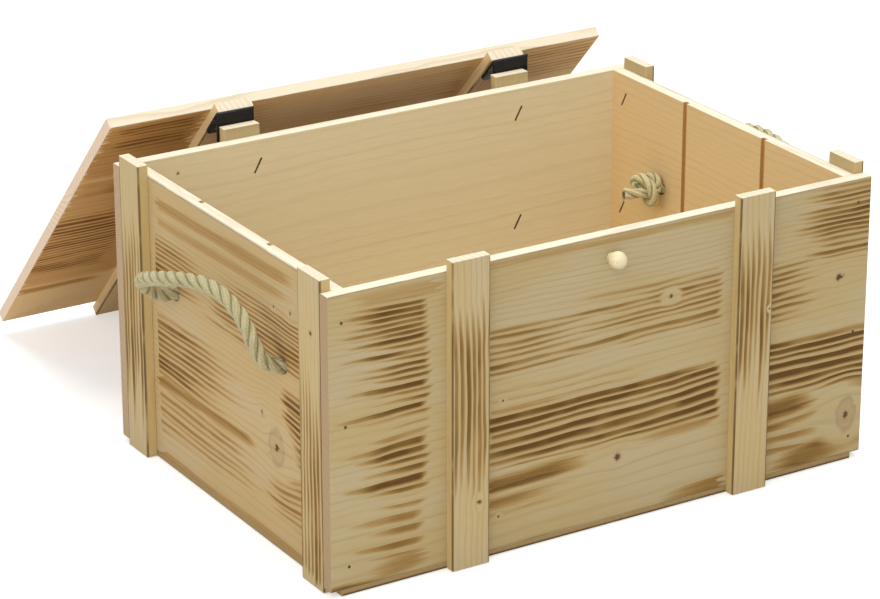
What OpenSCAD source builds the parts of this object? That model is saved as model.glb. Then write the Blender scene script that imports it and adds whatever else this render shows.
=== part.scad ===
// Wooden wine box of flamed softwood boards, with a batten-framed lid on two strap hinges,
// a rope handle at each end and a wooden ball knob. Millimetres, +Z up, +Y to the back.
// The origin is the middle of the case's base, on the surface it stands on.
// The lid is shown open, leaning behind the case with its battens on that surface.

/* [Case] */
// Length of the case, over the front board
case_length = 410; // [360:5:460]
// Depth of the case, over the front and back boards
case_depth = 284; // [250:2:320]
// Height of the walls' top edges above the floor
wall_top = 200; // [180:2:230]
// Thickness of the wall boards
wall_t = 9; // [8:0.5:12]
// Thickness of the bottom panel
panel_t = 4; // [3:0.5:6]

/* [Battens] */
// Width of every batten
batten_w = 27; // [22:1:34]
// Thickness of every batten
batten_t = 7.5; // [6:0.5:10]
// Distance from the case's middle to the middle of each front and back batten
batten_x = 108; // [90:1:120]
// Distance from the case's middle to the middle of the left lid batten
lid_left_batten_x = 107; // [90:0.5:120]
// Distance from the case's middle to the middle of the right lid batten
lid_right_batten_x = 110.5; // [90:0.5:120]

/* [Lid] */
// Thickness of the lid board, and the rise of the batten tips above the walls
lid_t = 8; // [7:0.5:11]
// Gap between the lid board and the batten tips at each end
lid_end_gap = 1.3; // [0.8:0.1:2.5]
// Gap between the lid board and the batten tips at the front and back
lid_side_gap = 1; // [0.8:0.1:2]

/* [Grooves for dividing boards] */
// Width of the grooves in the end boards
groove_w = 4.5; // [3:0.5:6]
// Depth of the grooves in the end boards
groove_depth = 3; // [2:0.5:5]

/* [Strap hinges] */
// Width of each strap
strap_w = 28; // [20:1:32]
// Thickness of each strap
strap_t = 2; // [1.4:0.1:2.6]
// Length of each leaf of a strap, from the fold
leaf_length = 26; // [20:1:30]
// Distance from the case's middle to the middle of the left strap
left_strap_x = 108.5; // [92:0.5:118]
// Distance from the case's middle to the middle of the right strap
right_strap_x = 112; // [92:0.5:118]

/* [Rope handles] */
// Thickness of the rope
rope_d = 10; // [8:0.5:12]
// Gap all round the rope in its holes
rope_gap = 0.5; // [0.3:0.1:1]
// Distance between the two holes of a handle
rope_hole_spacing = 144; // [130:2:156]
// Height of the rope holes above the floor
rope_hole_z = 129.5; // [110:0.5:145]

/* [Knob] */
// Diameter of the ball knob
knob_d = 12; // [10:0.5:16]
// Distance of the knob's middle below the walls' top edges
knob_drop = 15.5; // [12:0.5:30]

/* [Fasteners] */
// Diameter of the brads and strap nails
nail_d = 1.2; // [1:0.1:1.6]
// Diameter of the brad heads
nail_head_d = 1.9; // [1.8:0.1:2.6]
// Length of the brads in the walls and the bottom
nail_length = 25; // [20:1:30]
// Width of the staples over the crown
staple_crown = 11.5; // [9:0.5:13]
// Slant of the staples from the batten's length
staple_slant = 29; // [0:1:45]

/* [Hidden] */

wood = [0.84, 0.72, 0.52];
sawn_wood = [0.93, 0.85, 0.68];
lid_wood = [0.74, 0.57, 0.36];
steel = [0.45, 0.45, 0.46];
leather = [0.10, 0.10, 0.11];
rope = [0.77, 0.74, 0.60];

// Planes of the case
half_l = case_length / 2;
half_d = case_depth / 2;
end_x = half_l - batten_t;
in_x = end_x - wall_t;
in_y = half_d - wall_t;
wall_h = wall_top - panel_t;
tip_z = wall_top + lid_t;
rear_y = half_d + batten_t;
corner_y = in_y - batten_w / 2;

// Grooves divide the depth into three equal lanes
groove_y = (2 * in_y - 2 * groove_w) / 6 + groove_w / 2;

// Lid, drawn closed and then opened about the fold of the straps
seat_gap = 0.1;
end_setback = 0.3;
lid_z = wall_top + seat_gap;
lid_batten_z = lid_z + lid_t;
lid_face_z = lid_batten_z + batten_t;
lid_half_l = end_x - lid_end_gap;
lid_half_d = half_d - lid_side_gap;
lid_batten_half = rear_y - end_setback;

// Fold of the straps, and the angle at which the lid battens reach the floor
fold_gap = 0.25;
bead_r = strap_t / 2;
fold_r = bead_r + fold_gap;
fold_y = rear_y + 0.2 * strap_t;
fold_z = lid_face_z + fold_r;
fold_trim = 0.4;
reach_y = fold_y + lid_batten_half;
open_angle = 180 + atan(fold_r / reach_y) + asin(fold_z / norm([reach_y, fold_r]));
leaf_round = 4;
strap_nail_at = leaf_length - 7;
strap_nail_step = 14;
strap_nail_length = 8.5;
strap_nail_head = 3.6;
strap_nail_head_t = 0.8;

// Knob and its screw
knob_out = 7;
knob_z = wall_top - knob_drop;
knob_neck_d = 7;
screw_d = 3;
screw_hole_d = 3.4;
screw_head_d = 6.5;
screw_head_t = 2;
screw_in_knob = 8;

// Fastener details
nail_head_t = 0.8;
staple_shift = 0.26 * batten_w;
wire_w = 1.2;
wire_t = 0.9;
staple_depth = wall_t + 4.5;
lid_staple_depth = lid_t + 4.5;
staple_z = [26, wall_top / 2, wall_top - 18.5];

// Brads at the ends of a long wall: depth into the end wall as a part of its thickness, and height
left_brads = [[0.64, 18.8], [0.48, 0.565 * wall_top], [0.25, wall_top - 18.5]];
right_brads = [[0.25, 16.5], [0.25, 0.462 * wall_top], [0.28, wall_top - 16.5]];

// Rope handles: outwards from the end wall's outer face, across as a part of the hole's own
// distance from the middle, and up from the hole's middle
left_route = [
    [-9, 1, 0], [-4, 1, 0], [0.5, 1, 0], [5, 1, 0.2], [9.9, 0.99, 1.4], [14.5, 0.98, 3.6],
    [18.8, 0.96, 6.7], [22.9, 0.93, 10.5], [26.8, 0.885, 14.8], [30.2, 0.815, 19.2], [32.8, 0.7, 23.6],
    [34.2, 0.54, 28.1], [34.4, 0.36, 32.5], [33.5, 0.17, 36.7], [31.6, -0.02, 40.3], [29.2, -0.21, 42.9],
    [26.7, -0.39, 43.6], [24.4, -0.56, 41.9], [22.5, -0.71, 37.7], [21.2, -0.84, 31.6],
    [20.4, -0.93, 25.1], [19.3, -0.975, 18.9], [17.2, -0.995, 13.1], [14.3, -1, 8], [10.4, -1, 4.3],
    [6.1, -1, 1.8], [2, -1, 0.5], [-1.5, -1, 0], [-5, -1, 0], [-9, -1, 0]
];
right_route = [
    [-9, 1, 0], [-4, 1, 0], [0.5, 1, 0], [5, 1, 0.1], [9.9, 1, 1], [14.5, 0.995, 3], [18.4, 0.985, 6],
    [21.5, 0.97, 9.9], [23.7, 0.945, 14.5], [25, 0.915, 19.9], [25.8, 0.87, 25.8], [26.2, 0.805, 31.9],
    [26.5, 0.72, 37.8], [26.8, 0.605, 43.2], [27.1, 0.465, 47.8], [27.4, 0.31, 51.1], [27.6, 0.13, 53],
    [27.7, -0.05, 52.9], [27.6, -0.22, 51.1], [27.4, -0.38, 48], [27.2, -0.53, 43.7], [26.9, -0.665, 38.4],
    [26.5, -0.78, 32.2], [26, -0.87, 25.8], [25.2, -0.93, 19.9], [23.9, -0.968, 14.6], [21.8, -0.992, 10.1],
    [18.7, -1, 6.4], [14.8, -1, 3.3], [10.2, -1, 1.2], [5.2, -1, 0.2], [0.5, -1, 0], [-4, -1, 0], [-9, -1, 0]
];
rope_sides = 12;
knot_r = 13;
knot_round = 6;
knot_second_r = 11;
knot_length = 20;
tail_length = 32;

// Places of the lid battens and the straps along the case; side is -1 at the left
function lid_batten_x(side) = side < 0 ? -lid_left_batten_x : lid_right_batten_x;
function strap_x(side) = side < 0 ? -left_strap_x : right_strap_x;

// Place children on the open lid
module opened() {
    translate([0, fold_y, fold_z]) rotate([-open_angle, 0, 0]) translate([0, -fold_y, -fold_z]) children();
}

// A board between two corners
module board(low, high) {
    translate(low) cube(high - low);
}

// A brad that enters at the origin along +Z, its head flush with the surface
module brad(length) {
    cylinder(d = nail_d, h = length, $fn = 16);
    cylinder(d = nail_head_d, h = nail_head_t, $fn = 16);
}

// A staple that enters at the origin along +Z, its crown along X and flush with the surface
module staple(depth) {
    translate([-staple_crown / 2, -wire_w / 2, 0]) cube([staple_crown, wire_w, wire_t]);
    for (s = [-1, 1])
        translate([s * (staple_crown - wire_w) / 2 - wire_w / 2, -wire_w / 2, 0])
            cube([wire_w, wire_w, depth]);
}

// Brads through a long wall into both end walls; side is -1 at the front and 1 at the back
module wall_brads(side) {
    for (s = [-1, 1], b = s < 0 ? left_brads : right_brads)
        translate([s * (end_x - b[0] * wall_t), side * half_d, b[1]]) rotate([side * 90, 0, 0]) brad(nail_length);
}

// Brads through the bottom panel into the walls
module panel_brads() {
    for (s = [-1, 1], x = [-0.78, -0.26, 0.26, 0.78])
        translate([x * in_x, s * (half_d - wall_t / 2), 0]) brad(nail_length);
    for (s = [-1, 1], y = [-0.5, 0.5])
        translate([s * (end_x - wall_t / 2), y * in_y, 0]) brad(nail_length);
}

// Staples from inside a long wall into its two battens; those at the back left sit off the middle
module wall_staples(side) {
    for (s = [-1, 1], z = staple_z)
        translate([s * batten_x + (side > 0 && s < 0 ? staple_shift : 0), side * in_y, z])
            rotate([-side * 90, 0, 0]) rotate([0, 0, 90 + staple_slant]) staple(staple_depth);
}

// Staples from inside an end wall into its two corner battens
module end_staples(side) {
    for (s = [-1, 1], z = staple_z)
        translate([side * in_x, s * corner_y, z])
            rotate([0, side * 90, 0]) rotate([0, 0, staple_slant]) staple(staple_depth);
}

// Staples from the lid board's inner face into the lid battens, on the closed lid
module lid_staples() {
    for (s = [-1, 1], y = [-0.66, 0, 0.66])
        translate([lid_batten_x(s), y * in_y, lid_z]) rotate([0, 0, 90 - staple_slant]) staple(lid_staple_depth);
}

// Rope holes through an end wall
module rope_holes(side) {
    for (s = [-1, 1])
        translate([side * (in_x - 1), s * rope_hole_spacing / 2, rope_hole_z])
            rotate([0, side * 90, 0]) cylinder(d = rope_d + 2 * rope_gap, h = wall_t + 2, $fn = 48);
}

// Long wall; side is -1 at the front and 1 at the back
module long_wall(side) {
    difference() {
        board([-half_l, min(side * in_y, side * half_d), panel_t], [half_l, max(side * in_y, side * half_d), wall_top]);
        wall_brads(side);
        wall_staples(side);
        panel_brads();
    }
}

module front_board() {
    color(wood) difference() {
        long_wall(-1);
        translate([0, -in_y + 1, knob_z]) rotate([90, 0, 0]) cylinder(d = screw_hole_d, h = wall_t + 2, $fn = 32);
    }
}

module back_board() {
    color(wood) long_wall(1);
}

// End wall with its grooves and rope holes; side is -1 at the left and 1 at the right
module end_wall(side) {
    difference() {
        board([min(side * in_x, side * end_x), -in_y, panel_t], [max(side * in_x, side * end_x), in_y, wall_top]);
        for (s = [-1, 1])
            translate([side * in_x - groove_depth, s * groove_y - groove_w / 2, panel_t - 1])
                cube([2 * groove_depth, groove_w, wall_h + 2]);
        rope_holes(side);
        wall_brads(-1);
        wall_brads(1);
        end_staples(side);
        panel_brads();
    }
}

module left_end_board() {
    color(wood) end_wall(-1);
}

module right_end_board() {
    color(wood) end_wall(1);
}

module bottom_panel() {
    color(lid_wood) difference() {
        board([-end_x, -half_d, 0], [end_x, half_d, panel_t]);
        panel_brads();
    }
}

// Batten in a corner of an end wall; side is -1 at the left, along is -1 at the front
module corner_batten(side, along) {
    color(wood) difference() {
        board(
            [min(side * end_x, side * half_l), along * corner_y - batten_w / 2, 0],
            [max(side * end_x, side * half_l), along * corner_y + batten_w / 2, tip_z]
        );
        end_staples(side);
    }
}

module left_front_corner_batten() {
    corner_batten(-1, -1);
}

module left_rear_corner_batten() {
    corner_batten(-1, 1);
}

module right_front_corner_batten() {
    corner_batten(1, -1);
}

module right_rear_corner_batten() {
    corner_batten(1, 1);
}

// Batten on a long wall; side is -1 at the left, along is -1 at the front
module wall_batten(side, along) {
    color(wood) difference() {
        board(
            [side * batten_x - batten_w / 2, min(along * half_d, along * rear_y), 0],
            [side * batten_x + batten_w / 2, max(along * half_d, along * rear_y), tip_z]
        );
        wall_staples(along);
        if (along > 0)
            strap_case_nails(side);
    }
}

module front_left_batten() {
    wall_batten(-1, -1);
}

module front_right_batten() {
    wall_batten(1, -1);
}

module back_left_batten() {
    wall_batten(-1, 1);
}

module back_right_batten() {
    wall_batten(1, 1);
}

module lid_board() {
    color(lid_wood) opened() difference() {
        board([-lid_half_l, -lid_half_d, lid_z], [lid_half_l, lid_half_d, lid_batten_z]);
        lid_staples();
    }
}

module lid_batten(side) {
    color(lid_wood) difference() {
        opened() difference() {
            board(
                [lid_batten_x(side) - batten_w / 2, -lid_batten_half, lid_batten_z],
                [lid_batten_x(side) + batten_w / 2, lid_batten_half, lid_face_z]
            );
            lid_staples();
        }
        strap_lid_nails(side);
    }
}

module lid_left_batten() {
    lid_batten(-1);
}

module lid_right_batten() {
    lid_batten(1);
}

// Flat leaf in the XY plane from the fold along -Y, with two rounded corners
module leaf_plate() {
    translate([-strap_w / 2, -leaf_length + leaf_round, 0]) cube([strap_w, leaf_length - leaf_round, strap_t]);
    translate([-strap_w / 2 + leaf_round, -leaf_length, 0]) cube([strap_w - 2 * leaf_round, leaf_round, strap_t]);
    for (s = [-1, 1])
        translate([s * (strap_w / 2 - leaf_round), -leaf_length + leaf_round, 0])
            cylinder(r = leaf_round, h = strap_t, $fn = 32);
}

// Holes or shanks of the two nails in a leaf; the heads lie on the leaf
module leaf_nails() {
    for (s = [-1, 1])
        translate([s * strap_nail_step / 2, -strap_nail_at, 0]) {
            translate([0, 0, strap_t - strap_nail_length]) cylinder(d = nail_d, h = strap_nail_length, $fn = 16);
            translate([0, 0, strap_t]) cylinder(d = strap_nail_head, h = strap_nail_head_t, $fn = 24);
        }
}

// Place children from a leaf's plane to the back battens' rear faces
module on_case(side) {
    translate([strap_x(side), rear_y, fold_z]) rotate([0, 0, 180]) rotate([90, 0, 0]) children();
}

// Place children from a leaf's plane to the lid battens' outer faces
module on_lid(side) {
    opened() translate([strap_x(side), fold_y, lid_face_z]) children();
}

module strap_case_leaf(side) {
    color(leather) difference() {
        union() {
            intersection() {
                on_case(side) leaf_plate();
                translate([strap_x(side) - strap_w / 2, rear_y, 0]) cube([strap_w, strap_t, fold_z - fold_trim]);
            }
            translate([strap_x(side) - strap_w / 2, fold_y, fold_z])
                rotate([0, 90, 0]) cylinder(r = bead_r, h = strap_w, $fn = 32);
        }
        strap_case_nails(side);
    }
}

module strap_lid_leaf(side) {
    color(leather) difference() {
        on_lid(side) leaf_plate();
        translate([strap_x(side) - strap_w, rear_y - leaf_length, fold_z - leaf_length])
            cube([2 * strap_w, leaf_length + strap_t + fold_gap, 2 * leaf_length]);
        strap_lid_nails(side);
    }
}

module strap_case_nails(side) {
    on_case(side) leaf_nails();
}

module strap_lid_nails(side) {
    on_lid(side) leaf_nails();
}

module left_strap_case_leaf() {
    strap_case_leaf(-1);
}

module left_strap_lid_leaf() {
    strap_lid_leaf(-1);
}

module right_strap_case_leaf() {
    strap_case_leaf(1);
}

module right_strap_lid_leaf() {
    strap_lid_leaf(1);
}

module left_strap_case_nails() {
    color(steel) strap_case_nails(-1);
}

module left_strap_lid_nails() {
    color(steel) strap_lid_nails(-1);
}

module right_strap_case_nails() {
    color(steel) strap_case_nails(1);
}

module right_strap_lid_nails() {
    color(steel) strap_lid_nails(1);
}

// Ball knob with a short neck, bored for its screw
module knob() {
    color(sawn_wood) translate([0, -half_d, knob_z]) rotate([90, 0, 0]) difference() {
        union() {
            cylinder(d = knob_neck_d, h = knob_out, $fn = 48);
            intersection() {
                translate([0, 0, knob_out]) sphere(d = knob_d, $fn = 64);
                cylinder(d = 2 * knob_d, h = 3 * knob_d);
            }
        }
        translate([0, 0, -1]) cylinder(d = screw_d, h = screw_in_knob + 1, $fn = 32);
    }
}

module knob_screw() {
    color(steel) translate([0, -half_d, knob_z]) rotate([90, 0, 0]) {
        translate([0, 0, -wall_t]) cylinder(d = screw_d, h = wall_t + screw_in_knob, $fn = 32);
        translate([0, 0, -wall_t - screw_head_t]) cylinder(d = screw_head_d, h = screw_head_t, $fn = 32);
    }
}

// Tube of a rope along a route of points
function route_point(p, side) = [
    side * (end_x + (p[0] < 0 ? p[0] * wall_t / 9 : p[0])),
    p[1] * rope_hole_spacing / 2,
    rope_hole_z + p[2]
];
function unit(v) = v / norm(v);
function heading(path, i) = unit(path[min(i + 1, len(path) - 1)] - path[max(i - 1, 0)]);
function carried(v, t) = unit(v - (v * t) * t);
function frames(path, i = 0, v = [0, 0, 1]) =
    i >= len(path) ? [] : let(w = carried(v, heading(path, i))) concat([w], frames(path, i + 1, w));
function ring(centre, t, v) = [
    for (k = [0 : rope_sides - 1])
        let(a = 360 * k / rope_sides) centre + rope_d / 2 * (cos(a) * v + sin(a) * cross(t, v))
];
function tube_faces(rings) = concat(
    [[for (k = [rope_sides - 1 : -1 : 0]) k]],
    [[for (k = [0 : rope_sides - 1]) (rings - 1) * rope_sides + k]],
    [
        for (i = [0 : rings - 2], k = [0 : rope_sides - 1])
            let(m = (k + 1) % rope_sides, a = i * rope_sides, b = a + rope_sides) [a + k, a + m, b + m]
    ],
    [
        for (i = [0 : rings - 2], k = [0 : rope_sides - 1])
            let(m = (k + 1) % rope_sides, a = i * rope_sides, b = a + rope_sides) [a + k, b + m, b + k]
    ]
);

module rope_tube(route, side) {
    path = [for (p = route) route_point(p, side)];
    sides = frames(path);
    points = [for (i = [0 : len(path) - 1]) each ring(path[i], heading(path, i), sides[i])];
    color(rope) polyhedron(points = points, faces = tube_faces(len(path)));
}

module left_rope_handle() {
    rope_tube(left_route, -1);
}

module right_rope_handle() {
    rope_tube(right_route, 1);
}

// Stopper knot inside an end wall, with the rope's cut end
module rope_knot(side, along) {
    color(rope) translate([side * in_x, along * rope_hole_spacing / 2, rope_hole_z]) rotate([0, -side * 90, 0]) {
        rotate_extrude($fn = 48) {
            square([knot_r - knot_round, 2 * knot_round]);
            translate([knot_r - knot_round, knot_round]) intersection() {
                circle(r = knot_round, $fn = 32);
                translate([-knot_round / 2, -knot_round]) square(2 * knot_round);
            }
            translate([0, knot_length - 2 * knot_round]) square([knot_second_r - knot_round, 2 * knot_round]);
            translate([knot_second_r - knot_round, knot_length - knot_round]) intersection() {
                circle(r = knot_round, $fn = 32);
                translate([0, -knot_round]) square(2 * knot_round);
            }
        }
        cylinder(d = rope_d, h = tail_length, $fn = 32);
    }
}

module left_rope_front_knot() {
    rope_knot(-1, -1);
}

module left_rope_rear_knot() {
    rope_knot(-1, 1);
}

module right_rope_front_knot() {
    rope_knot(1, -1);
}

module right_rope_rear_knot() {
    rope_knot(1, 1);
}

module front_board_nails() {
    color(steel) wall_brads(-1);
}

module back_board_nails() {
    color(steel) wall_brads(1);
}

module bottom_panel_nails() {
    color(steel) panel_brads();
}

module front_batten_staples() {
    color(steel) wall_staples(-1);
}

module back_batten_staples() {
    color(steel) wall_staples(1);
}

module left_batten_staples() {
    color(steel) end_staples(-1);
}

module right_batten_staples() {
    color(steel) end_staples(1);
}

module lid_batten_staples() {
    color(steel) opened() lid_staples();
}

front_board();
back_board();
left_end_board();
right_end_board();
bottom_panel();
left_front_corner_batten();
left_rear_corner_batten();
right_front_corner_batten();
right_rear_corner_batten();
front_left_batten();
front_right_batten();
back_left_batten();
back_right_batten();
lid_board();
lid_left_batten();
lid_right_batten();
left_strap_case_leaf();
left_strap_lid_leaf();
right_strap_case_leaf();
right_strap_lid_leaf();
left_strap_case_nails();
left_strap_lid_nails();
right_strap_case_nails();
right_strap_lid_nails();
knob();
knob_screw();
left_rope_handle();
right_rope_handle();
left_rope_front_knot();
left_rope_rear_knot();
right_rope_front_knot();
right_rope_rear_knot();
front_board_nails();
back_board_nails();
bottom_panel_nails();
front_batten_staples();
back_batten_staples();
left_batten_staples();
right_batten_staples();
lid_batten_staples();
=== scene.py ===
"""Looks of the wooden wine box: flamed and brushed softwood, laid rope handles, black strap hinges, steel fasteners."""
import math
import bpy
import numpy as np
from mathutils import Matrix, Vector
from types import SimpleNamespace


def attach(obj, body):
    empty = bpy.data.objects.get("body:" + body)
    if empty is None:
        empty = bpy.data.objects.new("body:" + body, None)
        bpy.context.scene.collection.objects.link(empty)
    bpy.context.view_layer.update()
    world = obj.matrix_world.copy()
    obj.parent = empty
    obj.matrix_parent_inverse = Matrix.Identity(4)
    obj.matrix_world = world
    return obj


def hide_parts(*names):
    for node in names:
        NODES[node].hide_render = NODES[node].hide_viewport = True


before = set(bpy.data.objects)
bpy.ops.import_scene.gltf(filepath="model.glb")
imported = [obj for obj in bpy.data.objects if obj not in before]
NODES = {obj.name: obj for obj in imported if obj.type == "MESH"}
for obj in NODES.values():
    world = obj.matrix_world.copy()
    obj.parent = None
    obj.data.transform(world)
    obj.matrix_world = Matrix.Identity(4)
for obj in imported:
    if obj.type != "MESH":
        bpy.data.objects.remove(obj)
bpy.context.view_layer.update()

# Sizes of the case and the lid in millimetres and the lid's turn in degrees, as in the part's source
END_X, IN_X, TIP_Z = 197.5, 188.5, 208.0
ROPE_D, HOLE_Y, HOLE_Z = 10.0, 72.0, 129.5
FOLD_Y, FOLD_Z, OPEN_ANGLE = 149.9, 216.85, 226.7085
LID_Z, LID_T, BATTEN_T, BATTEN_W = 200.1, 8.0, 7.5, 27.0
LID_HALF_L, LID_HALF_D, LID_BATTEN_HALF = 196.2, 141.0, 149.2
WALL_MIDDLE = 102

# The camera in metres and degrees: its turns about Z, X and Z
CAMERA_PLACE, CAMERA_TURNS = (-1.1367, -1.7890, 0.9516), (-31.537, 68.295, -0.081)
CAMERA_LENS, CAMERA_SENSOR, CAMERA_CLIP = 140.0, 36.0, (0.05, 60.0)

# Rope handles: outwards from the wall's outer face, across as a part of the hole's distance, up from the hole
LEFT_ROUTE = [
    (-9, 1, 0), (-4, 1, 0), (0.5, 1, 0), (5, 1, 0.2), (9.9, 0.99, 1.4), (14.5, 0.98, 3.6),
    (18.8, 0.96, 6.7), (22.9, 0.93, 10.5), (26.8, 0.885, 14.8), (30.2, 0.815, 19.2), (32.8, 0.7, 23.6),
    (34.2, 0.54, 28.1), (34.4, 0.36, 32.5), (33.5, 0.17, 36.7), (31.6, -0.02, 40.3), (29.2, -0.21, 42.9),
    (26.7, -0.39, 43.6), (24.4, -0.56, 41.9), (22.5, -0.71, 37.7), (21.2, -0.84, 31.6),
    (20.4, -0.93, 25.1), (19.3, -0.975, 18.9), (17.2, -0.995, 13.1), (14.3, -1, 8), (10.4, -1, 4.3),
    (6.1, -1, 1.8), (2, -1, 0.5), (-1.5, -1, 0), (-5, -1, 0), (-9, -1, 0)]
RIGHT_ROUTE = [
    (-9, 1, 0), (-4, 1, 0), (0.5, 1, 0), (5, 1, 0.1), (9.9, 1, 1), (14.5, 0.995, 3), (18.4, 0.985, 6),
    (21.5, 0.97, 9.9), (23.7, 0.945, 14.5), (25, 0.915, 19.9), (25.8, 0.87, 25.8), (26.2, 0.805, 31.9),
    (26.5, 0.72, 37.8), (26.8, 0.605, 43.2), (27.1, 0.465, 47.8), (27.4, 0.31, 51.1), (27.6, 0.13, 53),
    (27.7, -0.05, 52.9), (27.6, -0.22, 51.1), (27.4, -0.38, 48), (27.2, -0.53, 43.7), (26.9, -0.665, 38.4),
    (26.5, -0.78, 32.2), (26, -0.87, 25.8), (25.2, -0.93, 19.9), (23.9, -0.968, 14.6), (21.8, -0.992, 10.1),
    (18.7, -1, 6.4), (14.8, -1, 3.3), (10.2, -1, 1.2), (5.2, -1, 0.2), (0.5, -1, 0), (-4, -1, 0), (-9, -1, 0)]

# Stopper knot: inwards from the wall's inner face, across and up from the hole's middle
KNOT_ROUTE = [
    (0, 0, 0), (3.5, 1.6, 0), (8, 3.4, 0), (13, 3.9, 0.4), (16.8, 5.6, 2.2), (17.6, 6.6, 5.6), (16.6, 3.9, 8.9),
    (15.2, -1.8, 9.2), (13.9, -7.1, 6.1), (12.5, -9.4, 0), (11.1, -7.1, -6.1), (9.7, -1.6, -9.2), (8.4, 4.7, -8.1),
    (7.2, 8.7, -3.3), (6, 8.8, 3.0), (5, 4.9, 7.4), (4.4, -0.6, 6.8), (5.2, -3.9, 3.8), (8.6, -4.3, 0.9),
    (13, -3.9, 0), (18, -3.2, 0), (24, -2, 0.4), (31.5, -0.6, 0.9)]
# Pulled tight, the knots' rope is thinner. LAY is the length in which a strand goes once round, YARN_LAY a yarn's
KNOT_ROPE_D, LAY, YARN_LAY, YARNS = 7.4, 33.0, 8, 7
# A strand's middle and radius as parts of the rope's diameter, and its yarns' ridges as a part of that radius
STRAND_OUT, STRAND_R, YARN_RIDGE = 0.205, 0.295, 0.03
ROPE_HAIRS, KNOT_HAIRS, HAIR_HALF_WIDTH = 3600, 700, 0.075


def shade(red, green, blue):
    """The linear colour of a screen colour given in 0 to 255."""
    return tuple((c / 12.92 if c <= 0.04045 else ((c + 0.055) / 1.055) ** 2.4)
                 for c in (red / 255, green / 255, blue / 255)) + (1.0,)


PALE, WARM, INSIDE = shade(188, 169, 126), shade(198, 174, 130), shade(232, 217, 180)
GREYISH, YELLOWISH, TAN = shade(190, 175, 142), shade(188, 164, 108), shade(164, 136, 88)
SAWN, END_GRAIN = shade(238, 225, 200), shade(236, 222, 196)
# Browns of the flame marks, from barely warmed to burnt
HEATED = ((0.0, (186, 164, 118)), (0.25, (176, 148, 98)), (0.5, (156, 123, 69)), (0.75, (128, 96, 47)),
          (1.0, (98, 68, 28)))
CHAR, KNOT, PITCH, GROOVE = shade(84, 58, 26), shade(158, 124, 84), shade(80, 50, 30), shade(186, 138, 70)
# The last hemp colour is painted shade, for the rope's crevices and yarn grooves
HEMP, HEMP_LIGHT, HEMP_DULL, HEMP_PAINTED_SHADE = (202, 192, 146), (232, 226, 196), (172, 160, 110), (120, 108, 62)


def lighter(colour, factors):
    """A linear colour times three factors."""
    return tuple(min(part * factor, 0.95) for part, factor in zip(colour, factors)) + (1.0,)


class Value:
    """A socket in a formula: each operator adds the Math node that works it out."""

    def __init__(self, graph, socket):
        self.graph, self.socket = graph, socket

    def __add__(self, other):
        return self.graph.math("ADD", self, other)

    def __sub__(self, other):
        return self.graph.math("SUBTRACT", self, other)

    def __rsub__(self, other):
        return self.graph.math("SUBTRACT", other, self)

    def __mul__(self, other):
        return self.graph.math("MULTIPLY", self, other)

    def __abs__(self):
        return self.graph.math("ABSOLUTE", self)

    __radd__ = __add__
    __rmul__ = __mul__


class Graph:
    """The node tree of one material."""

    def __init__(self, name):
        self.material = bpy.data.materials.new(name)
        self.material.use_nodes = True
        self.tree = self.material.node_tree
        self.tree.nodes.clear()

    def node(self, kind, settings=None, inputs=None, out=0):
        """Adds a node: its settings first, then the values or links of its sockets. Returns one output."""
        node = self.tree.nodes.new(kind)
        for key, value in (settings or {}).items():
            if key == "stops":
                while len(node.color_ramp.elements) < len(value):
                    node.color_ramp.elements.new(0.5)
                for element, (place, colour) in zip(node.color_ramp.elements, value):
                    element.position, element.color = place, colour
            else:
                setattr(node, key, value)
        for key, value in (inputs or {}).items():
            if isinstance(value, Value):
                self.tree.links.new(value.socket, node.inputs[key])
            else:
                node.inputs[key].default_value = value
        return Value(self, node.outputs[out]) if len(node.outputs) else node

    def math(self, operation, *values):
        """One Math node."""
        return self.node("ShaderNodeMath", {"operation": operation}, dict(enumerate(values)))

    def ramp(self, value, start, end, low=0.0, high=1.0):
        """Rises smoothly from low to high as value goes from start to end."""
        return self.node("ShaderNodeMapRange", {"interpolation_type": "SMOOTHSTEP"},
                         {0: value, 1: start, 2: end, 3: low, 4: high})

    def blend(self, factor, first, second):
        """Goes from the first colour to the second."""
        return self.node("ShaderNodeMix", {"data_type": "RGBA"}, {0: factor, 6: first, 7: second}, 2)

    def noise(self, place, size, detail=2.0, roughness=0.5, shift=0.0):
        """Noise from 0 to 1 whose lumps have these sizes along the three axes."""
        moved = self.node("ShaderNodeMapping", {"vector_type": "POINT"}, {
            "Vector": place, "Location": (shift, shift * 1.7, shift * 0.6), "Scale": tuple(1 / s for s in size)})
        return self.node("ShaderNodeTexNoise", {}, {
            "Vector": moved, "Scale": 1.0, "Detail": detail, "Roughness": roughness})

    def vector(self, x, y, z):
        """A vector from three coordinates."""
        return self.node("ShaderNodeCombineXYZ", {}, {0: x, 1: y, 2: z})

    def parts(self, place):
        """The three coordinates of a vector."""
        cut = self.node("ShaderNodeSeparateXYZ", {}, {0: place})
        return [Value(self, socket) for socket in cut.socket.node.outputs]

    def finish(self, colour, roughness, bump=None, depth=0.0, strength=1.0, **constants):
        """The surface: colour, roughness and relief vary, every other socket is one number."""
        inputs = {"Base Color": colour, "Roughness": roughness}
        inputs.update({key.replace("_", " "): value for key, value in constants.items()})
        if bump is not None:
            inputs["Normal"] = self.node("ShaderNodeBump", {}, {
                "Strength": strength, "Distance": depth, "Height": bump})
        surface = self.node("ShaderNodeBsdfPrincipled", {}, inputs)
        self.node("ShaderNodeOutputMaterial", {}, {"Surface": surface})
        return self.material


# ---------------------------------------------------------------- camera

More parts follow.
